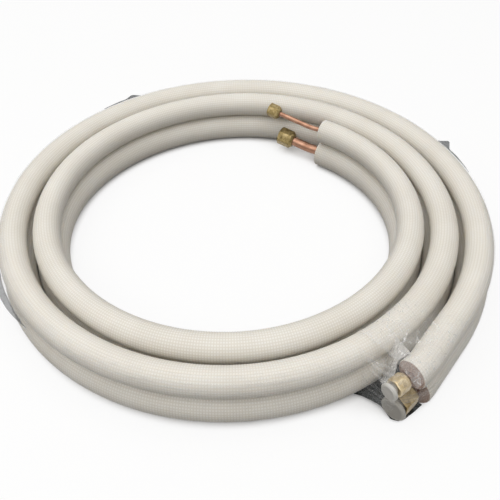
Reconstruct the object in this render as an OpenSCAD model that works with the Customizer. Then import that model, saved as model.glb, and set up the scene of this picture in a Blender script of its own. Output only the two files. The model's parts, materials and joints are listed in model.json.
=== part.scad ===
// Twin copper line set for a split air conditioner: two soft copper tubes in foam
// sleeves, wound together into a flat coil, with flare nuts, end caps and a film wrap.

/* [Gas line, below] */
// Outside diameter of the copper tube
gas_od = 12.7; // [9.52:0.01:15.88]
// Wall of the copper tube
gas_wall = 0.8; // [0.6:0.05:1.2]
// Width of the flare nut across its flats
gas_nut_flats = 22.2; // [22.2:0.1:26]
// Length of the flare nut
gas_nut_length = 22; // [20:0.5:26]
// Diameter of the hole in the nut's thread
gas_thread_bore = 17.5; // [17:0.1:18.5]
// Diameter of the end cap's flange
gas_cap_flange = 26; // [23:0.5:30]
// Straight copper at the inner end, up to the flare
gas_inner_stub = 28; // [26:1:60]

/* [Liquid line, above] */
// Outside diameter of the copper tube
liquid_od = 6.35; // [6:0.01:9.52]
// Wall of the copper tube
liquid_wall = 0.8; // [0.6:0.05:1.2]
// Width of the flare nut across its flats
liquid_nut_flats = 17; // [16:0.1:19]
// Length of the flare nut
liquid_nut_length = 17; // [16:0.5:22]
// Diameter of the hole in the nut's thread
liquid_thread_bore = 9.9; // [9.6:0.1:11.5]
// Diameter of the end cap's flange
liquid_cap_flange = 18; // [17:0.5:22]
// Straight copper at the inner end, up to the flare
liquid_inner_stub = 49; // [40:1:90]

/* [Foam sleeves] */
// Wall of the foam on both lines
foam_wall = 12; // [9:0.5:14]
// Gap all round between a copper tube and its sleeve
foam_slack = 0.2; // [0.1:0.05:0.4]

/* [Coil] */
// Radius of the first quarter turn, to the tube's centre
inner_radius = 189.7; // [170:0.1:240]
// Number of quarter turns
quarters = 9; // [9:4:17]
// How much more every other quarter turn grows, which makes the coil a little oval
ovality = 15.6; // [0:0.1:18]
// Gap between one turn of the thick sleeve and the next
turn_gap = 0.4; // [0.3:0.1:4]
// Gap between the sleeves that lie on each other
stack_gap = 0.3; // [0.3:0.1:3]
// Turn of the whole coil on the floor
coil_turn = -38.9; // [-180:0.1:180]

/* [Ends] */
// Angle that the foam runs back past the start of the first quarter turn
foam_lead = 5.5; // [4:0.1:7]
// Angle that the copper runs back before its straight end
copper_lead = 9.5; // [8.5:0.1:12]
// Rise of the straight inner ends
inner_rise = 9; // [6:0.5:14]
// Radius of the bend where the inner ends begin to rise
rise_radius = 60; // [40:1:100]
// Straight stretch after the last quarter turn
outer_straight = 62; // [50:1:80]
// Angle that the thick line's outer end turns inwards
gas_outer_bend = 7; // [4:0.5:10]
// Angle that the thin line's outer end turns inwards, which also leaves it longer
liquid_outer_bend = 14; // [10:0.5:18]
// Radius of both bends
outer_bend_radius = 100; // [90:1:160]
// Straight copper at the outer end, up to the flare
outer_stub = 14; // [10:1:24]

/* [Nuts and caps] */
// Gap all round between a tube and the throat of its nut
nut_slack = 0.08; // [0.05:0.01:0.1]
// Gap between a flare and the cone that it seats on
seat_gap = 0.15; // [0.1:0.05:0.4]
// Gap all round between a flare's lip and the thread
lip_gap = 0.4; // [0.3:0.05:0.6]
// Gap all round between a cap's plug and the thread
plug_slack = 0.1; // [0.05:0.05:0.3]
// Wall of the hollow plug
plug_wall = 1.2; // [0.8:0.1:2]
// Depth of the plug in the thread
plug_depth = 4; // [3:0.5:6]
// Distance of the flange from the nut
cap_stand = 3; // [1:0.5:5]
// Thickness of the flange
cap_thick = 4.5; // [3:0.5:7]
// How much thinner a straight end is than the wall it is let into, on each face
let_in = 0.05; // [0.03:0.01:0.1]
// How deep it is let in
let_in_depth = 0.3; // [0.2:0.1:0.5]

/* [Film wrap] */
// Thickness of the layers of film together
film_thick = 0.4; // [0.3:0.1:0.8]
// Gap between the film and the sleeves
film_gap = 0.3; // [0.2:0.1:0.6]
// How far over the top sleeve the film reaches, as an angle up from level
film_over = 75; // [40:1:110]
// How far under the bottom sleeve the film reaches, as an angle down from level
film_under = 55; // [20:1:70]
// Spare length of the film past the end caps
film_spare = 3; // [1:0.5:10]
// Radius of the film's corner round the end caps, to the tubes' centre line
film_corner = 12; // [8:1:20]
// Gap between the two ends of the film
film_seam = 0.5; // [0.3:0.1:2]

/* [Hidden] */
$fn = 96;
copper = "#c89274";
brass = "#a98f58";
foam = "#dcd7cb";
clear_plastic = "#c3c0ba";
film = "#d5d6d4";

// Share of a nut's length that its throat takes
throat_share = 0.42;

// Sleeve sizes and the heights of the two centre lines
gas_radius = gas_od / 2 + foam_slack + foam_wall;
liquid_radius = liquid_od / 2 + foam_slack + foam_wall;
gas_z = gas_radius;
liquid_z = 2 * gas_radius + stack_gap + liquid_radius;

// The coil is drawn with quarter arcs, struck clockwise from the four corners of a
// small rectangle, so the turns keep one spacing all the way round. The arcs are set
// out to a hundredth of a millimetre.
function set_out(size) = round(size * 100) / 100;
start_radius = set_out(inner_radius);
oval_growth = set_out(ovality);
quarter_growth = set_out((2 * gas_radius + turn_gap) / 4);
odd_growth = quarter_growth + oval_growth;
even_growth = quarter_growth - oval_growth;
corners = [[0, 0], [-odd_growth, 0], [-odd_growth, even_growth], [0, even_growth]];
function arc_centre(n) = corners[(n + 4) % 4];
function arc_radius(n) = start_radius + n * quarter_growth + (abs(n) % 2 == 1 ? oval_growth : 0);
last = quarters - 1;
end_radius = arc_radius(last);

// The outer ends run straight and then turn inwards about this hub
bend_hub = [end_radius - outer_bend_radius, -outer_straight];

// The film runs on past the end caps, turns round them and comes back to the turn inside,
// where the outsides of the two films meet
film_arc = last - 3;
film_radius = arc_radius(film_arc);
film_out = gas_radius + film_gap + film_thick;
function cap_end(nut_length) = nut_start(outer_stub, nut_length) + nut_length + cap_stand + cap_thick;
function past_cap(nut_length, flange, radius) = cap_end(nut_length)
    - sqrt(pow(film_corner + radius, 2) - pow(film_corner + flange / 2, 2));
liquid_longer = (liquid_outer_bend - gas_outer_bend) / 180 * PI * outer_bend_radius;
film_run = film_spare + max(past_cap(gas_nut_length, gas_cap_flange, gas_radius),
    past_cap(liquid_nut_length, liquid_cap_flange, liquid_radius) + liquid_longer);
corner_hub = bend_hub + (outer_bend_radius - film_corner) * [cos(gas_outer_bend), -sin(gas_outer_bend)]
    - film_run * [sin(gas_outer_bend), cos(gas_outer_bend)];
hub_line = arc_centre(film_arc) - arc_centre(last) - corner_hub;
hub_angle = atan2(hub_line.y, hub_line.x);
corner_reach = film_corner + film_out;
coil_reach = film_radius + film_out;
function meeting(near, far) = acos((pow(norm(hub_line), 2) + near * near - far * far) / (2 * norm(hub_line) * near));
corner_turn = 360 - hub_angle - meeting(corner_reach, coil_reach) - gas_outer_bend;
film_turn = hub_angle - 90 - meeting(coil_reach, corner_reach) - film_seam / coil_reach * 180 / PI;

// How far the coil's outer line reaches from its first corner in a direction on the floor
function extent(direction) = let(
    angle = direction - coil_turn,
    side = floor(((angle % 360) + 360) % 360 / 90),
    way = [cos(angle), sin(angle)])
    side < 3 ? arc_centre(last - side) * way + arc_radius(last - side)
    : max(arc_centre(film_arc) * way + film_radius, corner_hub * way + film_corner);

// The coil lies turned on the floor, with the middle of its box over the origin
middle = [extent(0) - extent(180), extent(90) - extent(270)] / 2;
module on_floor() {
    translate(-middle) rotate(coil_turn) children();
}

// A flat profile carried round an arc, left from X or up to X from the right
module arc_left(angle, radius, z) {
    rotate_extrude(angle = angle) translate([radius, z]) children();
}

module arc_right(angle, radius, z) {
    rotate_extrude(angle = angle, start = -angle) translate([radius, z]) children();
}

module in_arc(n) {
    translate(arc_centre(n)) rotate(-90 * n) children();
}

module quarter_turn(n, z) {
    in_arc(n) arc_left(90, arc_radius(n), z) children();
}

// Past the start of the first quarter turn
module in_lead() {
    translate(arc_centre(-1)) rotate(90) children();
}

module lead(angle, z) {
    in_lead() arc_left(angle, arc_radius(-1), z) children();
}

// Past the last quarter turn: a straight stretch and a bend inwards
module in_bend() {
    in_arc(last) translate(bend_hub) children();
}

module outer_run(z, bend) {
    in_arc(last) translate([end_radius, 0, z]) rotate([90, 0, 0])
        linear_extrude(outer_straight) children();
    in_bend() arc_right(bend, outer_bend_radius, z) children();
}

module coil_run(lead_angle, z, bend) {
    lead(lead_angle, z) children();
    for (n = [0:last]) quarter_turn(n, z) children();
    outer_run(z, bend) children();
}

// Frames at the two ends of a line, with Z along the tube and out of it
module in_rise(z) {
    in_lead() rotate(copper_lead) translate([arc_radius(-1), 0, z + rise_radius])
        rotate([90, 0, 90]) rotate(-90) children();
}

module at_inner_end(z) {
    in_rise(z) rotate(inner_rise) translate([rise_radius, 0, 0]) rotate([-90, 0, 0]) children();
}

module at_outer_end(z, bend) {
    in_bend() rotate(-bend) translate([outer_bend_radius, 0, z]) rotate([90, 0, 0]) children();
}

module ring(outside, inside) {
    difference() {
        circle(outside);
        circle(inside);
    }
}

// The throat of a nut ends where the cone that the flare seats on begins
function throat(nut_length) = nut_length * throat_share;
function nut_start(stub, nut_length) = stub - throat(nut_length) + nut_slack - seat_gap * sqrt(2);

// Straight end of a tube, opened out into a flare. Its root is let into the wall of the coil.
module flared_stub(od, wall, root, length, bore) {
    outside = od / 2 - let_in;
    inside = od / 2 - wall + let_in;
    lip = bore / 2 - lip_gap;
    lip_z = length + lip - outside;
    slant = (outside - inside) * sqrt(2);
    rotate_extrude() polygon([
        [inside, -root], [outside, -root], [outside, length], [lip, lip_z],
        [lip - slant, lip_z], [inside, length + slant - outside + inside]]);
}

module copper_tube(od, wall, z, inner_stub, bend, bore) {
    r = od / 2;
    root_angle = let_in_depth / rise_radius * 180 / PI;
    color(copper) on_floor() {
        coil_run(copper_lead, z, bend) ring(r, r - wall);
        at_inner_end(z) {
            flared_stub(od, wall, 0, inner_stub, bore);
            translate([-rise_radius, 0, 0]) rotate([90, 0, 0])
                arc_right(inner_rise + root_angle, rise_radius, 0) ring(r - let_in, r - wall + let_in);
        }
        at_outer_end(z, bend) flared_stub(od, wall, let_in_depth, outer_stub, bore);
    }
}

module sleeve(od, z, bend) {
    inside = od / 2 + foam_slack;
    color(foam) on_floor() coil_run(foam_lead, z, bend) ring(inside + foam_wall, inside);
}

// Short forged flare nut: a hexagon with turned ends, a throat, a seat cone and a threaded mouth
module flare_nut(od, flats, length, bore) {
    neck = throat(length);
    hole = od / 2 - let_in + nut_slack;
    corner = flats / sqrt(3);
    collar = od / 2 + (flats - od) / 4;
    chamfer = corner - flats / 2;
    color(brass) difference() {
        intersection() {
            cylinder(r = corner, h = length, $fn = 6);
            rotate_extrude() polygon([
                [0, 0], [collar, 0], [corner, corner - collar], [corner, length - chamfer / 2],
                [corner - chamfer, length], [0, length]]);
        }
        rotate_extrude() polygon([
            [0, -1], [hole, -1], [hole, neck], [bore / 2, neck + bore / 2 - hole],
            [bore / 2, length + 1], [0, length + 1]]);
    }
}

// Push-in cap: a round flange on a hollow plug that sits in the nut's thread
module end_cap(flange, bore) {
    plug = bore / 2 - plug_slack;
    rim = cap_thick / 4;
    top = cap_stand + cap_thick;
    color(clear_plastic) rotate_extrude() polygon([
        [0, cap_stand + plug_wall], [plug - plug_wall, cap_stand + plug_wall],
        [plug - plug_wall, -plug_depth], [plug, -plug_depth], [plug, cap_stand],
        [flange / 2 - rim, cap_stand], [flange / 2, cap_stand + rim], [flange / 2, top - rim],
        [flange / 2 - rim, top], [0, top]]);
}

// Section of the film: it follows the outside of both sleeves and spans the hollow between them
module film_section(inset) {
    lean = asin((gas_radius - liquid_radius) / (liquid_z - gas_z));
    steps = 10;
    trim = atan(inset / liquid_radius);
    lowest = trim - film_under;
    highest = film_over - trim;
    under = [for (i = [0:steps]) lowest + (lean - lowest) * i / steps];
    over = [for (i = [0:steps]) lean + (highest - lean) * i / steps];
    function point(r, z, a) = [r * cos(a), z + r * sin(a)];
    function outline(gap) = concat(
        [for (a = under) point(gas_radius + gap, gas_z, a)],
        [for (a = over) point(liquid_radius + gap, liquid_z, a)]);
    inside = outline(film_gap + inset);
    polygon(concat(outline(film_gap + film_thick - inset), [for (i = [len(inside) - 1:-1:0]) inside[i]]));
}

module wrap_film() {
    color(film, 0.4) on_floor() {
        in_arc(film_arc) arc_left(film_turn, film_radius, 0) film_section(0);
        for (n = [film_arc + 1:last]) quarter_turn(n, 0) film_section(0);
        outer_run(0, gas_outer_bend) film_section(0);
        in_bend() rotate(-gas_outer_bend) {
            translate([outer_bend_radius, let_in_depth, 0]) rotate([90, 0, 0])
                linear_extrude(film_run + let_in_depth) film_section(let_in);
            translate([outer_bend_radius - film_corner, -film_run, 0])
                arc_right(corner_turn, film_corner, 0) film_section(let_in);
        }
    }
}

module gas_tube() {
    copper_tube(gas_od, gas_wall, gas_z, gas_inner_stub, gas_outer_bend, gas_thread_bore);
}

module liquid_tube() {
    copper_tube(liquid_od, liquid_wall, liquid_z, liquid_inner_stub, liquid_outer_bend, liquid_thread_bore);
}

module gas_sleeve() {
    sleeve(gas_od, gas_z, gas_outer_bend);
}

module liquid_sleeve() {
    sleeve(liquid_od, liquid_z, liquid_outer_bend);
}

module gas_nut(stub) {
    translate([0, 0, nut_start(stub, gas_nut_length)])
        flare_nut(gas_od, gas_nut_flats, gas_nut_length, gas_thread_bore);
}

module liquid_nut(stub) {
    translate([0, 0, nut_start(stub, liquid_nut_length)])
        flare_nut(liquid_od, liquid_nut_flats, liquid_nut_length, liquid_thread_bore);
}

module gas_nut_inner() {
    on_floor() at_inner_end(gas_z) gas_nut(gas_inner_stub);
}

module liquid_nut_inner() {
    on_floor() at_inner_end(liquid_z) liquid_nut(liquid_inner_stub);
}

module gas_nut_outer() {
    on_floor() at_outer_end(gas_z, gas_outer_bend) gas_nut(outer_stub);
}

module liquid_nut_outer() {
    on_floor() at_outer_end(liquid_z, liquid_outer_bend) liquid_nut(outer_stub);
}

module gas_cap() {
    on_floor() at_outer_end(gas_z, gas_outer_bend)
        translate([0, 0, nut_start(outer_stub, gas_nut_length) + gas_nut_length])
            end_cap(gas_cap_flange, gas_thread_bore);
}

module liquid_cap() {
    on_floor() at_outer_end(liquid_z, liquid_outer_bend)
        translate([0, 0, nut_start(outer_stub, liquid_nut_length) + liquid_nut_length])
            end_cap(liquid_cap_flange, liquid_thread_bore);
}

gas_tube();
liquid_tube();
gas_sleeve();
liquid_sleeve();
gas_nut_inner();
liquid_nut_inner();
gas_nut_outer();
liquid_nut_outer();
gas_cap();
liquid_cap();
wrap_film();
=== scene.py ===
"""Looks of a twin copper line set, wound into a flat coil: embossed foam, copper, brass, caps and film."""
import json
import math

import bmesh
import bpy
import numpy as np
from mathutils import Matrix, Vector, noise
from mathutils.bvhtree import BVHTree


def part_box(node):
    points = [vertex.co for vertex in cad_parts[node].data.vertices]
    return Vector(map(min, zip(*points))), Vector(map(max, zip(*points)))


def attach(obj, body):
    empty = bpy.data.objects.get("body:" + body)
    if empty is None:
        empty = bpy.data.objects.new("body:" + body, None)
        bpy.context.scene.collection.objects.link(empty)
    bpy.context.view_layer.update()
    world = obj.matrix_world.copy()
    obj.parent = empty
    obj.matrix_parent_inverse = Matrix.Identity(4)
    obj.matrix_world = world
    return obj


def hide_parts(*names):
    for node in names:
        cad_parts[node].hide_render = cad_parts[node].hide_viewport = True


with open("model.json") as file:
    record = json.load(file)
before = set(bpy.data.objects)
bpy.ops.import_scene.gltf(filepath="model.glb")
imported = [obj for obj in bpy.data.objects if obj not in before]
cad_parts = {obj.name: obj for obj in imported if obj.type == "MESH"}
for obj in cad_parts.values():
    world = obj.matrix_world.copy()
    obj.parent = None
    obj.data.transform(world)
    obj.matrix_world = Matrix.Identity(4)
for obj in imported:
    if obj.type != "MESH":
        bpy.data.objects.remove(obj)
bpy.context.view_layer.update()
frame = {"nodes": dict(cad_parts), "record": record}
nodes = frame["nodes"]
mounts = {mount["name"]: mount for mount in frame["record"]["mounts"]}
MM = 0.001

# The coil's sizes in millimetres and degrees, as the part's source gives them.
# Each line's sleeve radius, height of its centre line, and bore radius
GAS_SLEEVE, GAS_Z, GAS_BORE = 18.55, 18.55, 6.55
LIQUID_SLEEVE, LIQUID_Z, LIQUID_BORE = 15.375, 52.775, 3.375
# The spiral: its first radius, what a quarter turn adds, its ovality, its last quarter, and the coil's turn
START_RADIUS, QUARTER_GROWTH, OVALITY = 189.7, 9.38, 15.6
LAST_QUARTER, COIL_TURN = 8, -38.9
# How far before the first quarter the foam starts
FOAM_LEAD = 5.5
# The outer ends: a straight run and then a bend
OUTER_STRAIGHT, OUTER_BEND_RADIUS = 62, 100
GAS_BEND, LIQUID_BEND = 7, 14
# Bare copper past the foam, the throat's share of a nut, and the nut's step back for the gap at its seat
OUTER_STUB, THROAT_SHARE, SEAT_STEP = 14, 0.42, 0.132
# Flare nuts: tube, flats, length, thread's inner diameter and thread pitch
GAS_NUT = (12.7, 22.2, 22, 17.5, 1.5875)
LIQUID_NUT = (6.35, 17, 17, 9.9, 1.27)
# How much wider than its tube a nut's throat is, all round
THROAT_GAP = 0.03
# Diameter of each cap's flange
GAS_FLANGE, LIQUID_FLANGE = 26, 18

# Emboss of the foam's skin: cells along and around the sleeve, a little coarser than the real ones of 2.5 mm,
# to keep within the triangles that a piece may have
CELL_LENGTH, CELL_WIDTH, CELL_HEIGHT = 2.65, 3.05, 0.72
GROOVE_DEPTH = 0.52

# Distance between the points of a finely drawn line
FINE_STEP = 1


# Paths

def arc(centre, radius, start, stop, step):
    count = max(2, math.ceil(abs(math.radians(stop - start)) * radius / step) + 1)
    angle = np.radians(np.linspace(start, stop, count))
    return np.stack([centre[0] + radius * np.cos(angle), centre[1] + radius * np.sin(angle)], axis=1)


ODD_GROWTH, EVEN_GROWTH = QUARTER_GROWTH + OVALITY, QUARTER_GROWTH - OVALITY
CORNERS = [(0, 0), (-ODD_GROWTH, 0), (-ODD_GROWTH, EVEN_GROWTH), (0, EVEN_GROWTH)]


def arc_centre(n):
    return np.array(CORNERS[n % 4], float)


def arc_radius(n):
    return START_RADIUS + n * QUARTER_GROWTH + (OVALITY if n % 2 else 0)


def quarter(n, start, step):
    """Quarter turn n, from an angle in its own frame to its end."""
    return arc(arc_centre(n), arc_radius(n), start - 90 * n, -90 * n, step)


END_RADIUS = arc_radius(LAST_QUARTER)
BEND_HUB = np.array([END_RADIUS - OUTER_BEND_RADIUS, -OUTER_STRAIGHT])


def heading(bend):
    """Direction in which an outer end points, before the coil is turned."""
    return -np.array([math.sin(math.radians(bend)), math.cos(math.radians(bend))])


def outer_run(bend, step):
    """The straight run and the bend of an outer end."""
    count = math.ceil(OUTER_STRAIGHT / step) + 1
    straight = np.linspace([END_RADIUS, 0], [END_RADIUS, -OUTER_STRAIGHT], count)
    return [straight, arc(BEND_HUB, OUTER_BEND_RADIUS, 0, -bend, step)]


def turned(points):
    """Points of the coil's own plan, turned as the coil lies."""
    a = math.radians(COIL_TURN)
    return points @ np.array([[math.cos(a), math.sin(a)], [-math.sin(a), math.cos(a)]])


def on_floor(stretches):
    """One line from stretches that follow each other, turned as the coil lies."""
    return turned(np.vstack([stretches[0]] + [s[1:] for s in stretches[1:]]))


def sleeve_line(bend, step):
    """A sleeve's centre line from its inner end to its outer end."""
    lead = arc(arc_centre(-1), arc_radius(-1), 90 + FOAM_LEAD, 90, step)
    turns = [quarter(n, 90, step) for n in range(LAST_QUARTER + 1)]
    return on_floor([lead] + turns + outer_run(bend, step))


# The coil's own origin in the frame, from the box of the thick sleeve
low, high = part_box("gas_sleeve")
plan = sleeve_line(GAS_BEND, FINE_STEP)
coil_origin = np.array([(low[i] + high[i]) / 2 / MM - (plan[:, i].min() + plan[:, i].max()) / 2
                        for i in range(2)])


def length_along(line):
    """How far along a line each of its points lies."""
    return np.concatenate([[0], np.cumsum(np.linalg.norm(np.diff(line, axis=0), axis=1))])


def even_points(line, count):
    """The line's points at even distances."""
    at = length_along(line)
    even = np.linspace(0, at[-1], count)
    return np.stack([np.interp(even, at, line[:, i]) for i in range(line.shape[1])], axis=1)


def outwards(line):
    """Unit normals of a line on the floor, to the outside of the coil."""
    way = np.gradient(line, axis=0)
    way /= np.linalg.norm(way, axis=1)[:, None]
    return np.stack([-way[:, 1], way[:, 0]], axis=1)


def outer_axis(bend):
    return np.append(turned(heading(bend)), 0)


def outer_point(bend, z, along):
    """A point on an outer end's axis, from where its bend ends."""
    end = turned(arc(BEND_HUB, OUTER_BEND_RADIUS, 0, -bend, FINE_STEP)[-1]) + coil_origin
    return np.append(end, z) + outer_axis(bend) * along


# Materials

def linear(code):
    """Linear colour of an sRGB hex value."""
    parts = [int(code[i:i + 2], 16) / 255 for i in (1, 3, 5)]
    return tuple(p / 12.92 if p <= 0.04045 else ((p + 0.055) / 1.055) ** 2.4 for p in parts) + (1,)


def add(tree, kind, inputs=None, stops=(), **settings):
    """Adds a node, sets its settings and colour stops, and sets or links its inputs."""
    node = tree.nodes.new(kind)
    for name, value in settings.items():
        setattr(node, name, value)
    for name, value in (inputs or {}).items():
        if isinstance(value, bpy.types.NodeSocket):
            tree.links.new(value, node.inputs[name])
        else:
            node.inputs[name].default_value = value
    for i, (position, code) in enumerate(stops):
        element = node.color_ramp.elements[i] if i < 2 else node.color_ramp.elements.new(position)
        element.position, element.color = position, linear(code)
    return node


def new_material(name, **values):
    """A material with a Principled shader, its tree and Object coordinates."""
    material = bpy.data.materials.new(name)
    material.use_nodes = True
    tree = material.node_tree
    shader = tree.nodes["Principled BSDF"]
    for key, value in values.items():
        shader.inputs[key.replace("_", " ")].default_value = value
    place = add(tree, "ShaderNodeTexCoord").outputs["Object"]
    return material, tree, shader, place


def feed(tree, shader, **sockets):
    """Links node outputs to the shader's inputs."""
    for key, socket in sockets.items():
        tree.links.new(socket, shader.inputs[key.replace("_", " ")])


def per_mm(size):
    """Scale of a pattern whose features are this many millimetres across."""
    return 1 / (size * MM)


def foam_skin():
    """Extruded polyethylene foam in an embossed polyethylene skin: soft off-white, a weak satin sheen on the
    crowns of the cells, darker and warmer in the grooves as painted shade, with faint cloudy patches from
    handling."""
    material, tree, shader, place = new_material(
        "embossed_polyethylene_foam", IOR=1.5, Subsurface_Weight=0.3, Subsurface_Radius=(1, 0.85, 0.65),
        Subsurface_Scale=8 * MM)
    crown = add(tree, "ShaderNodeAttribute", attribute_name="crown").outputs["Fac"]
    cloud = add(tree, "ShaderNodeTexNoise",
                {"Vector": place, "Scale": per_mm(60), "Detail": 3}).outputs["Fac"]
    grain = add(tree, "ShaderNodeTexNoise",
                {"Vector": place, "Scale": per_mm(0.9), "Detail": 2}).outputs["Fac"]
    # Painted shade: the grooves between the cells are coloured darker than the crowns.
    painted_groove_shade = add(tree, "ShaderNodeValToRGB", {"Fac": cloud},
                 [(0.3, "#d9d2c5"), (0.7, "#e0dace")]).outputs["Color"]
    top = add(tree, "ShaderNodeValToRGB", {"Fac": cloud},
              [(0.3, "#eeebe3"), (0.7, "#f5f3ed")]).outputs["Color"]
    colour = add(tree, "ShaderNodeMix", {"Factor": crown, "A": painted_groove_shade, "B": top},
                 data_type="RGBA").outputs["Result"]
    gloss = add(tree, "ShaderNodeMapRange",
                {"Value": crown, "To Min": 0.6, "To Max": 0.42}).outputs["Result"]
    bump = add(tree, "ShaderNodeBump",
               {"Height": grain, "Strength": 0.15, "Distance": 0.2 * MM}).outputs["Normal"]
    feed(tree, shader, Base_Color=colour, Roughness=gloss, Normal=bump)
    return material


def foam_cut():
    """Sliced polyethylene foam: matt, darkened to a brownish pink as painted shade and painted copper
    reflection, darkest in its small opened bubbles as painted shade.
    """
    material, tree, shader, place = new_material("sliced_foam_painted_shade", Roughness=0.9, IOR=1.5)
    bubble = add(tree, "ShaderNodeTexVoronoi",
                 {"Vector": place, "Scale": per_mm(1.1)}).outputs["Distance"]
    # Painted shade and painted copper reflection: dark brownish pink tones, darkest in the bubbles.
    shades = [(0.1, "#87685d"), (0.45, "#ae9386"), (0.8, "#cfbbae")]
    colour = add(tree, "ShaderNodeValToRGB", {"Fac": bubble}, shades).outputs["Color"]
    bump = add(tree, "ShaderNodeBump",
               {"Height": bubble, "Strength": 0.6, "Distance": 0.5 * MM}).outputs["Normal"]
    feed(tree, shader, Base_Color=colour, Normal=bump)
    return material


def drawn_copper(axis):
    """Soft drawn copper: a salmon metal with fine lines along the tube and slightly dull brown patches. The
    lines are drawn coarser than the real ones, so that they show."""
    material, tree, shader, place = new_material("drawn_copper", Metallic=1)
    turn = Vector(axis).to_track_quat("X", "Z").to_matrix().inverted().to_euler()
    along = add(tree, "ShaderNodeMapping",
                {"Vector": place, "Rotation": turn, "Scale": (0.03, 1, 1)}).outputs["Vector"]
    line = add(tree, "ShaderNodeTexNoise",
               {"Vector": along, "Scale": per_mm(0.7), "Detail": 2}).outputs["Fac"]
    patch = add(tree, "ShaderNodeTexNoise",
                {"Vector": place, "Scale": per_mm(9), "Detail": 4}).outputs["Fac"]
    shades = [(0.3, "#916c59"), (0.55, "#a17b66"), (0.8, "#ae8b77")]
    bright = add(tree, "ShaderNodeValToRGB", {"Fac": patch}, shades).outputs["Color"]
    dull = add(tree, "ShaderNodeMapRange",
               {"Value": line, "From Min": 0.45, "From Max": 0.8, "To Max": 0.3}).outputs["Result"]
    colour = add(tree, "ShaderNodeMix", {"Factor": dull, "A": bright, "B": linear("#765443")},
                 data_type="RGBA").outputs["Result"]
    gloss = add(tree, "ShaderNodeMapRange",
                {"Value": patch, "From Min": 0.3, "From Max": 0.7, "To Min": 0.42,
                 "To Max": 0.3}).outputs["Result"]
    bump = add(tree, "ShaderNodeBump",
               {"Height": line, "Strength": 0.1, "Distance": 0.05 * MM}).outputs["Normal"]
    feed(tree, shader, Base_Color=colour, Roughness=gloss, Normal=bump)
    return material


def forged_brass(name, dark, middle, bright):
    """Forged and turned brass: a yellow metal, dull brown in its pores, with fine tool marks and soft dents.
    The pores are drawn coarser than the real ones, so that they show."""
    material, tree, shader, place = new_material(name, Metallic=1)
    patch = add(tree, "ShaderNodeTexNoise",
                {"Vector": place, "Scale": per_mm(5), "Detail": 5, "Roughness": 0.6}).outputs["Fac"]
    pore = add(tree, "ShaderNodeTexNoise",
               {"Vector": place, "Scale": per_mm(0.8), "Detail": 3}).outputs["Fac"]
    colour = add(tree, "ShaderNodeValToRGB", {"Fac": patch},
                 [(0.3, dark), (0.5, middle), (0.72, bright)]).outputs["Color"]
    gloss = add(tree, "ShaderNodeMapRange",
                {"Value": pore, "From Min": 0.35, "From Max": 0.7, "To Min": 0.3,
                 "To Max": 0.52}).outputs["Result"]
    both = add(tree, "ShaderNodeMath", {0: pore, 1: patch}, operation="ADD").outputs["Value"]
    bump = add(tree, "ShaderNodeBump",
               {"Height": both, "Strength": 0.4, "Distance": 0.3 * MM}).outputs["Normal"]
    feed(tree, shader, Base_Color=colour, Roughness=gloss, Normal=bump)
    return material


def cap_plastic(name, centre, axis, radius, shades):
    """Moulded natural polyethylene: milky and translucent, paler towards its rim, with faint scuffs. The
    rings lie round the cap's axis, so the pattern is stretched out along it."""
    material, tree, shader, place = new_material(name, IOR=1.51, Transmission_Weight=0.2)
    turn = Vector(axis).to_track_quat("Z", "Y").to_euler()
    flat = add(tree, "ShaderNodeMapping",
               {"Vector": place, "Location": centre, "Rotation": turn,
                "Scale": (radius * MM, radius * MM, 1000)}, vector_type="TEXTURE").outputs["Vector"]
    out = add(tree, "ShaderNodeVectorMath", {0: flat}, operation="LENGTH").outputs["Value"]
    scuff = add(tree, "ShaderNodeTexNoise",
                {"Vector": place, "Scale": per_mm(4), "Detail": 5}).outputs["Fac"]
    spread = add(tree, "ShaderNodeMapRange",
                 {"Value": scuff, "To Min": -0.05, "To Max": 0.05}).outputs["Result"]
    ring = add(tree, "ShaderNodeMath", {0: out, 1: spread}, operation="ADD").outputs["Value"]
    colour = add(tree, "ShaderNodeValToRGB", {"Fac": ring}, shades).outputs["Color"]
    gloss = add(tree, "ShaderNodeMapRange",
                {"Value": scuff, "From Min": 0.3, "From Max": 0.7, "To Min": 0.3,
                 "To Max": 0.5}).outputs["Result"]
    bump = add(tree, "ShaderNodeBump",
               {"Height": ring, "Strength": 0.3, "Distance": 1 * MM}).outputs["Normal"]
    feed(tree, shader, Base_Color=colour, Roughness=gloss, Normal=bump)
    return material


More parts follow.
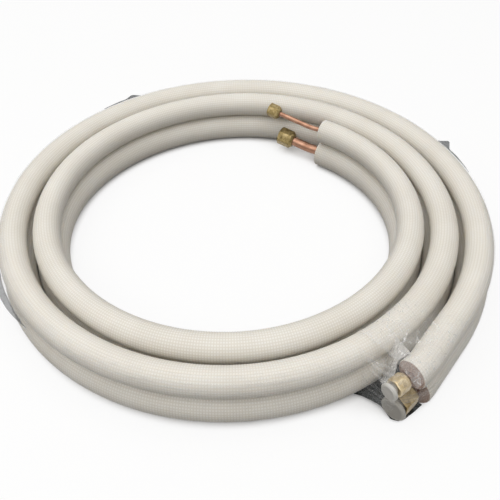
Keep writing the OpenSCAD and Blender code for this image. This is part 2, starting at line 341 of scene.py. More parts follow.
def stretch_film():
    """Stretch film, wound in several turns: nearly clear and glossy, greyer where the turns gather. Its
    darkest tones are painted shade, and its fine creases are drawn as white lines, which are painted
    highlights. One attribute says how dense and how dark it is, the other where it is folded and shows
    painted glints."""
    material, tree, shader, place = new_material("stretch_film", IOR=1.5, Roughness=0.16)
    layers = add(tree, "ShaderNodeAttribute", attribute_name="layers").outputs["Fac"]
    crease_and_painted_glint = add(tree, "ShaderNodeAttribute", attribute_name="crease_and_painted_glint").outputs["Fac"]
    wave = add(tree, "ShaderNodeTexNoise",
               {"Vector": place, "Scale": per_mm(8), "Detail": 3, "Distortion": 1.0})
    sway = 12 * MM
    bent = add(tree, "ShaderNodeVectorMath", {0: wave.outputs["Color"], 1: (sway, sway, sway), 2: place},
               operation="MULTIPLY_ADD").outputs["Vector"]
    wrinkle = add(tree, "ShaderNodeTexVoronoi", {"Vector": bent, "Scale": per_mm(9)},
                  feature="DISTANCE_TO_EDGE").outputs["Distance"]
    # Painted highlights: thin crinkle lines where the film is made more opaque and shows white.
    line = add(tree, "ShaderNodeMapRange",
               {"Value": wrinkle, "From Min": 0.06, "From Max": 0.0}).outputs["Result"]
    part = add(tree, "ShaderNodeMapRange",
               {"Value": wave.outputs["Fac"], "From Min": 0.45, "From Max": 0.6}).outputs["Result"]
    line = add(tree, "ShaderNodeMath", {0: line, 1: part}, operation="MULTIPLY").outputs["Value"]
    # Painted shade: the dark end of these tones stands for shade; the near white end lets the crease lines
    # show as painted highlights.
    shades = [(0.15, "#f8f7f5"), (0.35, "#b5aea3"), (0.6, "#4e5253"), (1.0, "#23292a")]
    colour = add(tree, "ShaderNodeValToRGB", {"Fac": layers}, shades).outputs["Color"]
    body = add(tree, "ShaderNodeMapRange",
               {"Value": layers, "To Min": 0.02, "To Max": 0.99}).outputs["Result"]
    folds = add(tree, "ShaderNodeMath", {0: line, 1: 0.2}, operation="ADD").outputs["Value"]
    fold = add(tree, "ShaderNodeMath", {0: crease_and_painted_glint, 1: folds}, operation="MULTIPLY").outputs["Value"]
    dense = add(tree, "ShaderNodeMath", {0: body, 1: fold}, operation="ADD", use_clamp=True).outputs["Value"]
    height = add(tree, "ShaderNodeMath", {0: wave.outputs["Fac"], 1: line}, operation="ADD").outputs["Value"]
    bump = add(tree, "ShaderNodeBump",
               {"Height": height, "Strength": 0.35, "Distance": 1 * MM}).outputs["Normal"]
    feed(tree, shader, Base_Color=colour, Alpha=dense, Normal=bump)
    return material


SKIN, CUT, FILM = foam_skin(), foam_cut(), stretch_film()


def new_piece(name, mesh, body, slot, *replaced):
    """Links a mesh as a piece that rides on a body. The slot is not used."""
    piece = bpy.data.objects.new(name, mesh)
    bpy.context.scene.collection.objects.link(piece)
    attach(piece, body)
    if replaced:
        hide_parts(*replaced)
    return piece


# Foam sleeves

MERGE_DISTANCE = 0.02
SLEEVE_INPUTS = {"Path": "Geometry", "Sleeve Radius": "Float", "Rings": "Int", "Cells Around": "Int",
                 "Cell Height": "Float", "Skin": "Material"}


def sleeve_tree():
    """Geometry nodes: a tube along a path, with each face raised into a small crown."""
    tree = bpy.data.node_groups.new("embossed_sleeve", "GeometryNodeTree")
    sockets = {}
    for name, kind in SLEEVE_INPUTS.items():
        socket = tree.interface.new_socket(name, in_out="INPUT", socket_type="NodeSocket" + kind)
        sockets[name] = socket.identifier
    tree.interface.new_socket("Sleeve", in_out="OUTPUT", socket_type="NodeSocketGeometry")
    given = add(tree, "NodeGroupInput").outputs
    curve = add(tree, "GeometryNodeMeshToCurve", {"Mesh": given["Path"]}).outputs["Curve"]
    curve = add(tree, "GeometryNodeResampleCurve",
                {"Curve": curve, "Count": given["Rings"]}).outputs["Curve"]
    curve = add(tree, "GeometryNodeSetCurveNormal", {"Curve": curve}, mode="Z_UP").outputs["Curve"]
    circle = add(tree, "GeometryNodeCurvePrimitiveCircle",
                 {"Resolution": given["Cells Around"], "Radius": given["Sleeve Radius"]}).outputs["Curve"]
    tube = add(tree, "GeometryNodeCurveToMesh", {"Curve": curve, "Profile Curve": circle}).outputs["Mesh"]
    cells = add(tree, "GeometryNodeExtrudeMesh",
                {"Mesh": tube, "Offset Scale": given["Cell Height"], "Individual": True})
    crowned = add(tree, "GeometryNodeStoreNamedAttribute",
                  {"Geometry": cells.outputs["Mesh"], "Name": "crown", "Value": cells.outputs["Top"]})
    crowned = add(tree, "GeometryNodeScaleElements",
                  {"Geometry": crowned.outputs["Geometry"], "Selection": cells.outputs["Top"], "Scale": 0.0})
    merged = add(tree, "GeometryNodeMergeByDistance",
                 {"Geometry": crowned.outputs["Geometry"], "Distance": MERGE_DISTANCE * MM})
    smooth = add(tree, "GeometryNodeSetShadeSmooth", {"Geometry": merged.outputs["Geometry"]})
    real = add(tree, "GeometryNodeRealizeInstances", {"Geometry": smooth.outputs["Geometry"]})
    painted = add(tree, "GeometryNodeSetMaterial",
                  {"Geometry": real.outputs["Geometry"], "Material": given["Skin"]})
    add(tree, "NodeGroupOutput", {"Sleeve": painted.outputs["Geometry"]})
    return tree, sockets


def grown(base, tree, sockets, values):
    """The plain mesh that a geometry tree makes from a base mesh."""
    carrier = bpy.data.objects.new("carrier", base)
    bpy.context.scene.collection.objects.link(carrier)
    modifier = carrier.modifiers.new("grow", "NODES")
    modifier.node_group = tree
    for name, value in values.items():
        modifier[sockets[name]] = value
    made = bpy.data.meshes.new_from_object(carrier.evaluated_get(bpy.context.evaluated_depsgraph_get()))
    carrier.modifiers.remove(modifier)
    bpy.data.objects.remove(carrier)
    return made


def path_mesh(line, z):
    """A line on the floor as a mesh of edges, lifted to a height."""
    mesh = bpy.data.meshes.new("path")
    points = [((x + coil_origin[0]) * MM, (y + coil_origin[1]) * MM, z * MM) for x, y in line]
    mesh.from_pydata(points, [(i, i + 1) for i in range(len(points) - 1)], [])
    return mesh


# Rings along a sleeve's bore, and how near an end's centre its edge lies, in sleeve radii
BORE_STATIONS, END_REACH = 60, 1.5


def close_ends(mesh, line, z, radius, bore):
    """Gives an embossed tube its cut ends and its bore."""
    bm = bmesh.new()
    bm.from_mesh(mesh)
    ways = outwards(line)
    edge = [v for v in bm.verts if v.is_boundary]

    def about(i, v):
        """A point's angle round the line's point i."""
        across = (np.array(v.co[:2]) / MM - line[i] - coil_origin) @ ways[i]
        return math.atan2(v.co.z / MM - z, across)

    ends = {}
    for i in (0, len(line) - 1):
        centre = Vector((*(line[i] + coil_origin), z)) * MM
        near = [v for v in edge if (v.co - centre).length < END_REACH * radius * MM]
        ends[i] = sorted(near, key=lambda v: about(i, v))
    angles = [about(0, v) for v in ends[0]]

    def ring_at(i, size):
        """New points round the line's point i."""
        made = []
        for a in angles:
            x, y = line[i] + coil_origin + ways[i] * size * math.cos(a)
            made.append(bm.verts.new((x * MM, y * MM, (z + size * math.sin(a)) * MM)))
        return made

    def skin(a, b):
        """Faces of cut foam between two rings."""
        for k in range(len(a)):
            face = bm.faces.new((a[k - 1], a[k], b[k], b[k - 1]))
            face.material_index = 1
            face.smooth = False

    stations = np.linspace(0, len(line) - 1, BORE_STATIONS).round().astype(int)
    rings = [ring_at(i, bore) for i in stations]
    for a, b in zip(rings, rings[1:]):
        skin(a, b)
    for i, inner in ((0, rings[0]), (len(line) - 1, rings[-1])):
        middle = ring_at(i, (radius + bore) / 2)
        skin(ends[i], middle)
        skin(middle, inner)
    bmesh.ops.recalc_face_normals(bm, faces=bm.faces)
    bm.to_mesh(mesh)
    bm.free()
    mesh.materials.append(CUT)


EMBOSS = sleeve_tree()


def foam_sleeve(name, node, radius, z, bore, bend):
    """An embossed sleeve along its line of the coil, closed at its ends."""
    whole = sleeve_line(bend, FINE_STEP)
    line = even_points(whole, round(length_along(whole)[-1] / CELL_LENGTH) + 1)
    mesh = grown(path_mesh(line, z), *EMBOSS,
                 {"Sleeve Radius": (radius - GROOVE_DEPTH) * MM, "Rings": len(line),
                  "Cells Around": round(2 * math.pi * radius / CELL_WIDTH),
                  "Cell Height": CELL_HEIGHT * MM, "Skin": SKIN})
    close_ends(mesh, line, z, radius, bore)
    piece = new_piece(name, mesh, "coil", "foam", node)


foam_sleeve("thick_foam_sleeve", "gas_sleeve", GAS_SLEEVE, GAS_Z, GAS_BORE, GAS_BEND)
foam_sleeve("thin_foam_sleeve", "liquid_sleeve", LIQUID_SLEEVE, LIQUID_Z, LIQUID_BORE, LIQUID_BEND)


# Flare nuts

# Points in a ring, rings along the outside, and rings in one turn of the thread
NUT_SIDES, NUT_RINGS, THREAD_STEPS = 72, 45, 6
# Depth of the thread as a share of its pitch, chamfer of the mouth, and rounding of the outer edges
THREAD_DEPTH, MOUTH_CHAMFER, EDGE_SOFTNESS = 0.55, 0.3, 0.5
SHARP_ANGLE = 40


def nut_outside(angle, od, flats, length):
    """Rings of a hexagon with turned ends: heights and radii, with soft edges."""
    corner = flats / math.sqrt(3)
    collar = od / 2 + (flats - od) / 4
    chamfer = corner - flats / 2
    side = flats / 2 / np.cos((angle + math.pi / 6) % (math.pi / 3) - math.pi / 6)
    turned_end = np.array([(0, collar), (corner - collar, corner), (length - chamfer / 2, corner),
                           (length, corner - chamfer)])
    rings = []
    for z in np.linspace(0, length, NUT_RINGS):
        lathe = np.interp(z, turned_end[:, 0], turned_end[:, 1])
        soft = np.log(np.exp(-side / EDGE_SOFTNESS) + math.exp(-lathe / EDGE_SOFTNESS))
        rings.append((z, -EDGE_SOFTNESS * soft))
    return rings


def nut_inside(angle, od, length, bore, pitch):
    """Rings of a cut thread from the mouth in, the seat's cone and the throat."""
    hole = od / 2 + THROAT_GAP
    neck = THROAT_SHARE * length
    seat = neck + bore / 2 - hole
    mouth_edge = bore / 2 + THREAD_DEPTH * pitch
    rings = [(length, np.full(NUT_SIDES, mouth_edge + MOUTH_CHAMFER))]
    for z in np.arange(length - MOUTH_CHAMFER, seat, -pitch / THREAD_STEPS):
        phase = (z / pitch - angle / (2 * math.pi)) % 1
        rings.append((z, bore / 2 + THREAD_DEPTH * pitch * (1 - np.abs(2 * phase - 1))))
    for z, radius in ((seat, bore / 2), (neck, hole), (0, hole)):
        rings.append((z, np.full(NUT_SIDES, radius)))
    return rings


def nut_mesh(mouth, axis, corner_way, od, flats, length, bore, pitch):
    """A forged hexagon with turned ends and a cut thread, as rings from the collar round to the throat."""
    angle = np.linspace(0, 2 * math.pi, NUT_SIDES, endpoint=False)
    axis, across = Vector(axis).normalized(), Vector(corner_way).normalized()
    other = axis.cross(across)
    bm = bmesh.new()
    made = []
    for z, radius in nut_outside(angle, od, flats, length) + nut_inside(angle, od, length, bore, pitch):
        middle = Vector(mouth) + axis * (z - length)
        made.append([bm.verts.new((middle + across * (r * math.cos(a)) + other * (r * math.sin(a))) * MM)
                     for r, a in zip(radius, angle)])
    for a, b in zip(made, made[1:] + made[:1]):
        for k in range(NUT_SIDES):
            bm.faces.new((a[k - 1], a[k], b[k], b[k - 1])).smooth = True
    bmesh.ops.recalc_face_normals(bm, faces=bm.faces)
    mesh = bpy.data.meshes.new("nut")
    bm.to_mesh(mesh)
    bm.free()
    mesh.set_sharp_from_angle(angle=math.radians(SHARP_ANGLE))
    return mesh


def nut_start(length):
    """How far from the bend's end an outer nut begins."""
    return OUTER_STUB - THROAT_SHARE * length - SEAT_STEP


AGED = forged_brass("aged_forged_brass", "#5e5135", "#8f7e55", "#bba87e")
# Painted shade: the thick line's capped nut gets darker brass than the thin line's, for the shade that the
# upper nut and cap cast on it.
CAPPED = {"gas": forged_brass("turned_brass_painted_shade", "#6f5f42", "#917f5c", "#b1a07c"),
          "liquid": forged_brass("turned_brass", "#8f7d5c", "#b6a482", "#d2c5a7")}
LINES = (("gas", GAS_NUT, GAS_BEND, GAS_Z), ("liquid", LIQUID_NUT, LIQUID_BEND, LIQUID_Z))
for line, sizes, bend, z in LINES:
    mount = mounts[f"{line}_flare_thread"]
    axis = Vector(mount["axis"])
    mouth = Vector(mount["pos_m"]) / MM + axis * mount["dims"]["length_mm"] / 2
    upright = Vector((0, 0, 1)) - axis * axis.z
    nut = nut_mesh(mouth, axis, upright, *sizes)
    nut.materials.append(AGED)
    new_piece(f"{line}_open_nut", nut, f"{line}_nut", "brass", f"{line}_nut_inner")
    way = outer_axis(bend)
    nut = nut_mesh(outer_point(bend, z, nut_start(sizes[2]) + sizes[2]), way, (-way[1], way[0], 0), *sizes)
    nut.materials.append(CAPPED[line])
    new_piece(f"{line}_capped_nut", nut, "coil", "brass", f"{line}_nut_outer")


# Film

# The belt: the quarter and the angle at which it starts, its run past the foam and its gap to the foam
FILM_ARC, WEB_ANGLE, FILM_RUN, FILM_GAP = 5, -23, 6, 0.3
# The angles of its edges on the thick and the thin sleeve, and the points of each sleeve's arc
FILM_UNDER, FILM_OVER, SECTION_STEPS = -55, 78, 40
RIDGE_SHARPNESS = 3.2


def film_line(step):
    """The film's line from its inner end, round the outer turn and past the foam's outer end."""
    tail = outer_run(GAS_BEND, step)
    past = tail[1][-1] + FILM_RUN * heading(GAS_BEND)
    run = np.linspace(tail[1][-1], past, math.ceil(FILM_RUN / step) + 1)
    turns = [quarter(n, 90, step) for n in range(FILM_ARC + 1, LAST_QUARTER + 1)]
    return on_floor([quarter(FILM_ARC, 90 + WEB_ANGLE, step)] + turns + tail + [run])


def film_section(count):
    """Points across the film, as offsets outwards and heights, with their normals, and its width."""
    lean = math.degrees(math.asin((GAS_SLEEVE - LIQUID_SLEEVE) / (LIQUID_Z - GAS_Z)))
    rows = []
    for centre, radius, start, stop in ((GAS_Z, GAS_SLEEVE, FILM_UNDER, lean),
                                        (LIQUID_Z, LIQUID_SLEEVE, lean, FILM_OVER)):
        for a in np.radians(np.linspace(start, stop, SECTION_STEPS)):
            r = radius + FILM_GAP
            rows.append((r * math.cos(a), centre + r * math.sin(a), math.cos(a), math.sin(a)))
    rows = np.array(rows)
    at = length_along(rows[:, :2])
    even = np.linspace(0, at[-1], count)
    return np.stack([np.interp(even, at, rows[:, i]) for i in range(4)], axis=1), at[-1]


def solids(*names):
    """A search tree of CAD solids, in millimetres."""
    corners, faces = [], []
    for name in names:
        mesh = nodes[name].data
        first = len(corners)
        corners += [v.co / MM for v in mesh.vertices]
        faces += [[first + i for i in polygon.vertices] for polygon in mesh.polygons]
    return BVHTree.FromPolygons(corners, faces)


BUNDLE = solids("gas_sleeve", "liquid_sleeve", "gas_nut_outer", "liquid_nut_outer", "gas_cap", "liquid_cap")


def drawn_tight(sheet, held, rounds):
    """Film pulled tight over the bundle: points move towards their neighbours, along the edges towards those
    on the edge, and stay outside the solids."""
    loose = np.argwhere(~held)
    for _ in range(rounds):
        goal = sheet.copy()
        goal[1:-1] = (sheet[:-2] + sheet[2:]) / 2
        goal[:, 1:-1] = (goal[:, 1:-1] + (sheet[:, :-2] + sheet[:, 2:]) / 2) / 2
        for row in (0, -1):
            goal[row, 1:-1] = (sheet[row, :-2] + sheet[row, 2:]) / 2
        sheet = np.where(held[..., None], sheet, goal)
        for i, j in loose:
            spot, normal, _, gap = BUNDLE.find_nearest(sheet[i, j])
            inside = (Vector(sheet[i, j]) - spot).dot(normal) < 0
            if inside or gap < FILM_GAP:
                sheet[i, j] = spot + normal * FILM_GAP
    return sheet


def sheet_normals(sheet):
    along, across = np.gradient(sheet, axis=0), np.gradient(sheet, axis=1)
    normal = np.cross(across, along)
    return normal / np.maximum(np.linalg.norm(normal, axis=2), 1e-9)[..., None]


def ridges(pattern, along, across):
    """Sharp folds: 1 on a fold's line and falling off beside it. A pattern has a fold's length, its slant
    across, its width, its slant along, and a seed."""
    length, slant_across, width, slant_along, seed = pattern
    spot = (along / length + across / slant_across, across / width + along / slant_along, seed)
    return 1 - min(1, abs(noise.noise(spot)) * RIDGE_SHARPNESS)


def film_mesh(sheet, layers, crease_and_painted_glint):
    """A grid of points as a film that carries its density and darkness, partly painted shade, and its
    creases.
    """
    rows, columns = sheet.shape[:2]
    mesh = bpy.data.meshes.new("film")
    number = np.arange(rows * columns).reshape(rows, columns)
    corners = [number[:-1, :-1], number[:-1, 1:], number[1:, 1:], number[1:, :-1]]
    faces = np.stack(corners, axis=-1).reshape(-1, 4)
    mesh.from_pydata((sheet.reshape(-1, 3) * MM).tolist(), [], faces.tolist())
    for name, values in (("layers", layers), ("crease_and_painted_glint", crease_and_painted_glint)):
        attribute = mesh.attributes.new(name, "FLOAT", "POINT")
        attribute.data.foreach_set("value", values.reshape(-1).astype(np.float32))
    mesh.shade_smooth()
    mesh.materials.append(FILM)
    return mesh


# Grid of the belt: step of its line, distance of its rows, points across, rows before the foam's end that are
# drawn tight with the rest, and rounds of drawing
BELT_LINE_STEP, BELT_STEP, BELT_COLUMNS, TIGHT_ROWS, BELT_ROUNDS = 2, 2.6, 44, 24, 260
# Where the belt turns back round the caps, along each outer end
GAS_TURN_BACK, LIQUID_TURN_BACK = 42, 38
# Folds and crinkles of the belt, and how far they lift it
BELT_FOLD = (26, 80, 22, math.inf, 3.7)
BELT_CRINKLE = (9, math.inf, 16, 40, 8.1)
BELT_LIFT, FOLD_LIFT, CRINKLE_LIFT = 0.3, 0.35, 0.25
# Creases of the belt on the foam, and what its free end has more; both show as painted glints
BELT_CREASE, WEB_CREASE = 0.05, 0.15
# Bands of pleats on the belt: middle and half width as shares of its width, pleat width, density, lift, and
# where the band starts and stops along the belt. The density darkens the pleats as painted shade; the two
# lower bands darken the belt where the sleeves shade the crease between them
PLEATS = ((0.84, 0.2, 3.4, 0.3, 0.7, -60, 3000),
          (0.47, 0.27, 2.6, 0.42, 0.3, 290, 500),
          (0.47, 0.27, 2.6, 0.5, 0.3, 1410, 1700))
PLEAT_FADE, PLEAT_LENGTH, PLEAT_SEED = 60, 150, 30.6


def belt_sheet():
    """The belt before it is folded, its width, and the rows at which it leaves the foam and turns back."""
    line = film_line(BELT_LINE_STEP)
    line = even_points(line, round(length_along(line)[-1] / BELT_STEP))
    section, width = film_section(BELT_COLUMNS)
    flat = (line + coil_origin)[:, None, :] + outwards(line)[:, None, :] * section[None, :, :1]
    heights = np.broadcast_to(section[:, 1][None, :, None], (len(line), BELT_COLUMNS, 1))
    sheet = np.concatenate([flat, heights], axis=2)
    tip = (outer_point(GAS_BEND, 0, GAS_TURN_BACK) + outer_point(LIQUID_BEND, 0, LIQUID_TURN_BACK)) / 2
    tip = np.stack([np.full(BELT_COLUMNS, tip[0]), np.full(BELT_COLUMNS, tip[1]), section[:, 1]], axis=1)
    legs = [sheet]
    for start, stop in ((sheet[-1], tip), (tip, sheet[0])):
        count = round(np.linalg.norm(stop - start, axis=1).mean() / BELT_STEP)
        legs.append(start + (stop - start) * np.linspace(0, 1, count + 1)[1:, None, None])
    tight = len(sheet) - TIGHT_ROWS
    past_foam, past_tip = len(sheet), len(sheet) + len(legs[1])
    sheet = np.concatenate(legs)
    held = np.zeros((len(sheet) - tight, BELT_COLUMNS), bool)
    held[0] = held[-1] = True
    sheet[tight:] = drawn_tight(sheet[tight:], held, BELT_ROUNDS)
    return sheet, width, past_foam, past_tip


def belt():
    """The film belt round the outer turn, drawn in round the caps and back to the turn inside."""
    sheet, width, past_foam, past_tip = belt_sheet()
    normal = sheet_normals(sheet)
    layers, crease_and_painted_glint = np.zeros(sheet.shape[:2]), np.zeros(sheet.shape[:2])
    for i in range(len(sheet)):
        along = i * BELT_STEP
        crease_and_painted_glint[i] = BELT_CREASE + WEB_CREASE * max(0, min(1, (i - past_foam) / (past_tip - past_foam)))
        for j in range(BELT_COLUMNS):
            share = j / (BELT_COLUMNS - 1)
            across = width * share
            lift = BELT_LIFT + FOLD_LIFT * ridges(BELT_FOLD, along, across)
            lift += CRINKLE_LIFT * ridges(BELT_CRINKLE, along, across)
            for middle, spread, pleat_width, density, height, start, stop in PLEATS:
                ridge = ridges((PLEAT_LENGTH, math.inf, pleat_width, math.inf, PLEAT_SEED), along, across)
                band = max(0, 1 - abs(share - middle) / spread)
                fade = max(0, min(1, (along - start) / PLEAT_FADE, (stop - along) / PLEAT_FADE))
                pleat = ridge ** 2 * band * fade
                # Painted shade: pleats darken the film.
                layers[i, j] += density * pleat
                lift += height * pleat
            sheet[i, j] += normal[i, j] * lift
    piece = new_piece("film_belt", film_mesh(sheet, layers, crease_and_painted_glint), "coil", "film", "wrap_film")


belt()

# Loose tails of film on the belt: place along it, length, how far they stand off, height of the peak, where
# the peak is from -1 to 1, how high on the belt as a share of its width, and how dense and dark they are;
# their darkness is painted shade
TAILS = ((397, 120, 7, 0, 0, 0.57, 0.66),
         (748, 56, 1.1, 3.5, 0.58, 0.87, 0.85),
         (1258, 67, 1.1, 8, -0.66, 0.825, 0.85))
# Width of the root that lies on the belt, its points and all points across a tail, and half the peak's width
TAIL_ROOT, ROOT_COLUMNS, TAIL_COLUMNS, PEAK_REACH = 6, 2, 9, 10
# Lift off the belt's line, height of the ripples and the rows and columns of one ripple
TAIL_LIFT, TAIL_RIPPLE, RIPPLE_ROWS, RIPPLE_COLUMNS = 1.2, 0.3, 4, 3
# Creases of the tails, shown as painted glints, and the points of the finely drawn section
TAIL_CREASE, FINE_SECTION = 0.1, 400


def tail_sheet(number, place, length, rim, height, peak, middle):
    """One torn tail, which lies on the belt with its root and stands off it, most at its peak."""
    line = film_line(FINE_STEP)
    at = length_along(line)
    out = outwards(line)
    section, width = film_section(FINE_SECTION)
    rows = round(length / BELT_STEP) + 1
    sheet = np.zeros((rows, TAIL_COLUMNS, 3))
    for i, along in enumerate(np.linspace(-1, 1, rows)):
        spot = np.array([np.interp(place + along * length / 2, at, side) for side in (*line.T, *out.T)])
        near_peak = max(0, 1 - abs(along - peak) * length / 2 / PEAK_REACH)
        stand = rim * (1 - along ** 2) + height * near_peak
        for j in range(TAIL_COLUMNS):
            reach = np.interp(j, (0, ROOT_COLUMNS, TAIL_COLUMNS - 1), (0, TAIL_ROOT, TAIL_ROOT + stand))
            share = middle - max(0, TAIL_ROOT - reach) / width
            offset, z, way_out, way_up = section[round(share * (len(section) - 1))]
            ripple = TAIL_RIPPLE * noise.noise((i / RIPPLE_ROWS, j / RIPPLE_COLUMNS, number))
            rise = max(0, reach - TAIL_ROOT) + TAIL_LIFT + ripple
            sheet[i, j, :2] = spot[:2] + coil_origin + spot[2:] * (offset + way_out * rise)
            sheet[i, j, 2] = z + way_up * rise
    return sheet


def film_tails():
    """The torn tails as one piece, clear at their roots and darkened beyond as painted shade."""
    sheets = [tail_sheet(number, *tail[:-1]) for number, tail in enumerate(TAILS)]
    mesh = bpy.data.meshes.new("tails")
    bm = bmesh.new()
    for sheet, tail in zip(sheets, TAILS):
        layers = np.zeros(sheet.shape[:2])
        # Painted shade: each tail is darkened beyond its root.
        layers[:, ROOT_COLUMNS:] = tail[-1]
        bm.from_mesh(film_mesh(sheet, layers, np.full(sheet.shape[:2], TAIL_CREASE)))
    bm.to_mesh(mesh)
    bm.free()
    mesh.materials.append(FILM)
    piece = new_piece("film_tails", mesh, "coil", "film")


film_tails()

# Grid of the end wrap and its rounds of drawing
WRAP_ROWS, WRAP_COLUMNS, WRAP_ROUNDS = 44, 40, 160
# Where the wrap starts, and where it stops on the turn inside and on the outer end, in the coil's own plan
WRAP_START, WRAP_STOP_INNER, WRAP_STOP_OUTER = -8, -84, -96
# How far its edges lie from the two centre lines, its height before it is drawn tight, and the length of the
# outer end's line past the bend
WRAP_INNER, WRAP_OUTER, WRAP_TOP, WRAP_RUN = -13, 13, 72, 60
# Folds and crinkles of the wrap, in rows and columns, and how far they lift it
WRAP_FOLD = (9, 40, 13, math.inf, 21.3)
WRAP_CRINKLE = (3.5, math.inf, 9, 14, 5.9)
WRAP_LIFT, WRAP_FOLD_LIFT, WRAP_CRINKLE_LIFT = 0.5, 0.8, 0.6
# Share of its rows over which the wrap grows denser, how dense and how creased it is there, and what a fold
# adds; the creases show as painted glints
WRAP_GROWTH, WRAP_LAYERS, WRAP_CREASE, WRAP_FOLD_CREASE = 0.6, 0.03, 0.35, 0.5


def wrap_sheet():
    """The end wrap before it is folded, from the turn inside across to the capped ends."""
    straight, bend = outer_run(LIQUID_BEND, FINE_STEP)
    run = bend[-1] + heading(LIQUID_BEND) * np.arange(1, WRAP_RUN)[:, None]
    tail = np.vstack([straight, bend[1:], run])
    centre, radius = arc_centre(FILM_ARC), arc_radius(FILM_ARC)
    sheet = np.zeros((WRAP_ROWS, WRAP_COLUMNS, 3))
    for i, share in enumerate(np.linspace(0, 1, WRAP_ROWS)):
        inner_y = WRAP_START + share * (WRAP_STOP_INNER - WRAP_START)
        outer_y = WRAP_START + share * (WRAP_STOP_OUTER - WRAP_START)
        inner_x = centre[0] + math.sqrt(radius ** 2 - (inner_y - centre[1]) ** 2) + WRAP_INNER
        outer_x = np.interp(-outer_y, -tail[:, 1], tail[:, 0]) + WRAP_OUTER
        sheet[i, :, :2] = np.linspace([inner_x, inner_y], [outer_x, outer_y], WRAP_COLUMNS)
    on_foam = sheet[:, -1, 1] > bend[-1][1]
    sheet[..., :2] = turned(sheet[..., :2]) + coil_origin
    sheet[..., 2] = WRAP_TOP
    held = np.zeros(sheet.shape[:2], bool)
    held[:, 0] = held[on_foam, -1] = held[-1, -1] = True
    rise = math.sqrt((LIQUID_SLEEVE + FILM_GAP) ** 2 - WRAP_INNER ** 2)
    sheet[:, 0, 2] = sheet[on_foam, -1, 2] = LIQUID_Z + rise
    sheet[-1, -1, 2] = LIQUID_Z
    return drawn_tight(sheet, held, WRAP_ROUNDS)


def end_wrap():
    """The last turns of film, wound across the capped ends and the turn beside them."""
    sheet = wrap_sheet()
    normal = sheet_normals(sheet)
    normal *= np.sign(normal[..., 2:])
    layers, crease_and_painted_glint = np.zeros(sheet.shape[:2]), np.zeros(sheet.shape[:2])
    for i in range(WRAP_ROWS):
        near_end = min(1, i / (WRAP_GROWTH * WRAP_ROWS))
        layers[i] = WRAP_LAYERS * near_end
        for j in range(WRAP_COLUMNS):
            fold, crinkle = ridges(WRAP_FOLD, i, j), ridges(WRAP_CRINKLE, i, j)
            lift = WRAP_LIFT + WRAP_FOLD_LIFT * fold + WRAP_CRINKLE_LIFT * crinkle
            sheet[i, j] += normal[i, j] * lift
            # Painted glints: the creases show white, most on the folds.
            crease_and_painted_glint[i, j] = near_end * (WRAP_CREASE + WRAP_FOLD_CREASE * fold ** 2)
    piece = new_piece("film_end_wrap", film_mesh(sheet, layers, crease_and_painted_glint), "coil", "film")


end_wrap()

# Grid of a smaller piece of film, its rounds of drawing, its folds in rows and columns, and their lift
PATCH_ROWS, PATCH_COLUMNS, PATCH_ROUNDS = 30, 44, 60
PATCH_FOLD, PATCH_LIFT = (8, 30, 7, math.inf, 14.2), 0.5
# What a fold takes off the darkness, so that folds show lighter as painted highlights, the share of the
# creases beside a fold, and what a fold adds; the creases show as painted glints
FOLD_THINNING, FLAT_CREASE, FOLDED_CREASE = 0.1, 0.6, 0.4
# Edges of the low piece, along and across the thick tube's end, and its height. This near black piece is
# painted shade on the floor under the capped ends
UNDER_Z = 4
UNDER_EDGE = ((38, -42.5), (33.7, -33), (31.5, -24.5), (30, -19), (29.4, -13.7), (32, -6), (34.5, 1),
              (31.5, 7.5), (25.7, 10.5), (12.2, 12.5), (0.6, 13.5))
UNDER_BACK = ((-26, -32), (-26, -13.2), (0.6, -13.2), (0.6, 13))
# Edges of the piece in the gap, on the turn inside and on the upper nut: along, across and height
WEB_INNER = ((9, -34.4, 6.5), (6, -29.6, 18), (4, -33.5, 36), (0, -31.5, 52), (-6, -34.5, 64))
WEB_OUTER = ((37, -13, 50), (24, -12, 54), (11, -17, 58), (2, -12, 66))


def beside_end(along, across, z):
    """A point by its distance along the thick tube's outer end and its distance outwards."""
    way = outer_axis(GAS_BEND)
    return outer_point(GAS_BEND, z, along) + across * np.array([-way[1], way[0], 0])


def film_patch(name, edge, other, layers, crease_and_painted_glint):
    """A piece of film between two edges, drawn tight and crinkled."""
    edge, other = (even_points(np.array([beside_end(*p) for p in side]), PATCH_COLUMNS)
                   for side in (edge, other))
    sheet = edge + (other - edge) * np.linspace(0, 1, PATCH_ROWS)[:, None, None]
    held = np.zeros(sheet.shape[:2], bool)
    held[0] = held[-1] = True
    sheet = drawn_tight(sheet, held, PATCH_ROUNDS)
    folds = np.array([[ridges(PATCH_FOLD, i, j) for j in range(PATCH_COLUMNS)] for i in range(PATCH_ROWS)])
    sheet += sheet_normals(sheet) * PATCH_LIFT * folds[..., None]
    # Painted highlights and glints: folds are made lighter and more creased.
    mesh = film_mesh(sheet, layers * (1 - FOLD_THINNING * folds),
                     crease_and_painted_glint * (FLAT_CREASE + FOLDED_CREASE * folds))
    piece = new_piece(name, mesh, "coil", "film")


# Painted shade: a near black sheet on the floor under the capped ends, and a grey web across the gap whose
# creases show as painted glints.
film_patch("film_under_end_painted_shade", [(*p, UNDER_Z) for p in UNDER_EDGE], [(*p, UNDER_Z) for p in UNDER_BACK],
           layers=1.0, crease_and_painted_glint=0.05)
film_patch("film_gap_web", WEB_INNER, WEB_OUTER,
           layers=0.2, crease_and_painted_glint=2.0)


# Copper and caps keep their solids and get their finishes

def finish_node(name, material):
    mesh = nodes[name].data
    mesh.materials.clear()
    mesh.materials.append(material)


COPPER = drawn_copper(mounts["gas_flare_thread"]["axis"])
CAP_FLANGES = {"gas": GAS_FLANGE, "liquid": LIQUID_FLANGE}
# Where the middle of a cap's shades lies, from the nut, and the shades from there to the rim
SHADES_MIDDLE = 5
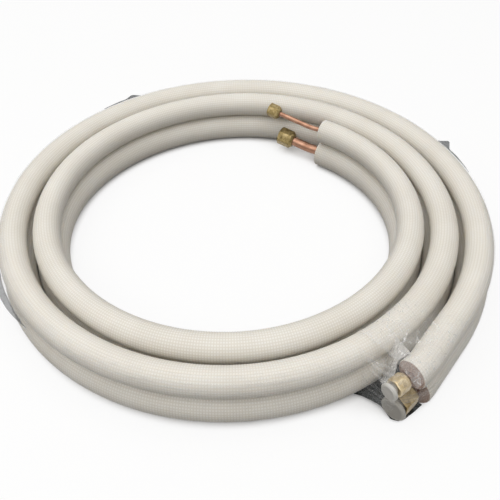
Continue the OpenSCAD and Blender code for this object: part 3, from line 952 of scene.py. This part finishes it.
# Painted shade: the thick line's cap is coloured darker than the thin line's, for the shade that the upper
# cap and nut cast on it.
CAP_TONES_AND_PAINTED_SHADE = {"gas": [(0.0, "#a49f95"), (0.7, "#9a958b"), (0.8, "#a4a096"), (0.9, "#b8b4ab")],
              "liquid": [(0.0, "#cfcbc4"), (0.7, "#c4c0b9"), (0.8, "#cecbc3"), (0.9, "#dbd8d1")]}
for line, sizes, bend, z in LINES:
    finish_node(f"{line}_tube", COPPER)
    spot = outer_point(bend, z, nut_start(sizes[2]) + sizes[2] + SHADES_MIDDLE) * MM
    finish_node(f"{line}_cap", cap_plastic(f"natural_polyethylene_{line}_cap", spot, outer_axis(bend),
                                           CAP_FLANGES[line] / 2, CAP_TONES_AND_PAINTED_SHADE[line]))


# Stage

# Strength of the world as light and as background
FILL_LIGHT, BACKGROUND = 0.3, 1.0
# Reach of the floor in metres, and how near the coil the floor's shade begins, in millimetres
FLOOR_REACH, SHADE_REACH = 4, 60
# Lamps: name, place and target in metres, size in metres and power in watts
LAMPS = (("overhead", (-0.2, -0.35, 1.6), (0, 0, 0), 2.6, 31.5),
         ("back_fill", (-0.5, 1.5, 1.2), (0, 0, 0.03), 1.2, 3))
# Camera, from the coil's own origin in millimetres: found from the edges of the turns in the view. Dip in
# degrees, roll in radians, focal length and sensor in millimetres, and the nearest distance it sees in metres
CAMERA_FROM_COIL = (3.935, -542.69, 528.9)
CAMERA_DIP, CAMERA_ROLL, LENS, SENSOR, CLIP_START = 45.104, -0.013, 44.06, 36, 0.01


def shows_background(tree):
    """1 for the rays that see the background: from the camera, off gloss and through clear things."""
    path = add(tree, "ShaderNodeLightPath").outputs
    seen = path["Is Camera Ray"]
    for kind in ("Is Glossy Ray", "Is Transmission Ray"):
        seen = add(tree, "ShaderNodeMath", {0: seen, 1: path[kind]}, operation="MAXIMUM").outputs["Value"]
    return seen


def studio_world():
    """Plain white surroundings, which give a weak fill light."""
    world = bpy.data.worlds.new("studio")
    bpy.context.scene.world = world
    world.use_nodes = True
    tree = world.node_tree
    back = tree.nodes["Background"]
    back.inputs["Color"].default_value = (1, 1, 1, 1)
    strength = add(tree, "ShaderNodeMapRange", {"Value": shows_background(tree), "To Min": FILL_LIGHT,
                                                "To Max": BACKGROUND})
    tree.links.new(strength.outputs["Result"], back.inputs["Strength"])


def pale_paper():
    """Matt white paper that looks white away from the coil and keeps the coil's shadow. It throws less light
    back than it shows, so that the foam's undersides stay in shade."""
    material, tree, shader, _ = new_material("pale_paper", Roughness=0.9)
    bounce = add(tree, "ShaderNodeLightPath").outputs["Is Diffuse Ray"]
    paper = add(tree, "ShaderNodeMix", {"Factor": bounce, "A": linear("#f4f3f1"), "B": linear("#807e7b")},
                data_type="RGBA").outputs["Result"]
    feed(tree, shader, Base_Color=paper)
    glow = add(tree, "ShaderNodeEmission", {"Color": (1, 1, 1, 1), "Strength": 1.0}).outputs["Emission"]
    # Painted shade: ambient occlusion fades the floor's glow near the coil, darkening the floor there beyond
    # its real shadow.
    free = add(tree, "ShaderNodeAmbientOcclusion", {"Distance": SHADE_REACH * MM}).outputs["AO"]
    free = add(tree, "ShaderNodeMapRange",
               {"Value": free, "From Min": 0.15, "From Max": 0.5, "To Max": 0.88}).outputs["Result"]
    share = add(tree, "ShaderNodeMath", {0: shows_background(tree), 1: free},
                operation="MULTIPLY").outputs["Value"]
    mix = add(tree, "ShaderNodeMixShader", {0: share, 1: shader.outputs["BSDF"], 2: glow})
    tree.links.new(mix.outputs["Shader"], tree.nodes["Material Output"].inputs["Surface"])
    return material


def floor():
    mesh = bpy.data.meshes.new("floor")
    corners = [(x * FLOOR_REACH, y * FLOOR_REACH, 0) for x, y in ((-1, -1), (1, -1), (1, 1), (-1, 1))]
    mesh.from_pydata(corners, [], [(0, 1, 2, 3)])
    mesh.materials.append(pale_paper())
    plane = bpy.data.objects.new("floor", mesh)
    bpy.context.scene.collection.objects.link(plane)


def lamps():
    for name, place, target, size, power in LAMPS:
        data = bpy.data.lights.new(name, "AREA")
        data.size, data.energy = size, power
        lamp = bpy.data.objects.new(name, data)
        lamp.location = place
        lamp.rotation_euler = (Vector(target) - Vector(place)).to_track_quat("-Z", "Y").to_euler()
        bpy.context.scene.collection.objects.link(lamp)


def camera():
    """The camera at the photograph's viewing angle."""
    data = bpy.data.cameras.new("camera")
    data.lens, data.sensor_width, data.clip_start = LENS, SENSOR, CLIP_START
    viewer = bpy.data.objects.new("camera", data)
    dip = math.radians(CAMERA_DIP)
    view = Vector((0, math.cos(dip), -math.sin(dip)))
    right, up = Vector((1, 0, 0)), Vector((0, math.sin(dip), math.cos(dip)))
    c, s = math.cos(CAMERA_ROLL), math.sin(CAMERA_ROLL)
    turn = Matrix((right * c + up * s, up * c - right * s, -view)).transposed().to_4x4()
    spot = (np.array(CAMERA_FROM_COIL) + np.append(coil_origin, 0)) * MM
    viewer.matrix_world = Matrix.Translation(spot) @ turn
    bpy.context.scene.collection.objects.link(viewer)
    bpy.context.scene.camera = viewer


bpy.context.scene.view_settings.view_transform = "Standard"
studio_world()
floor()
lamps()
camera()
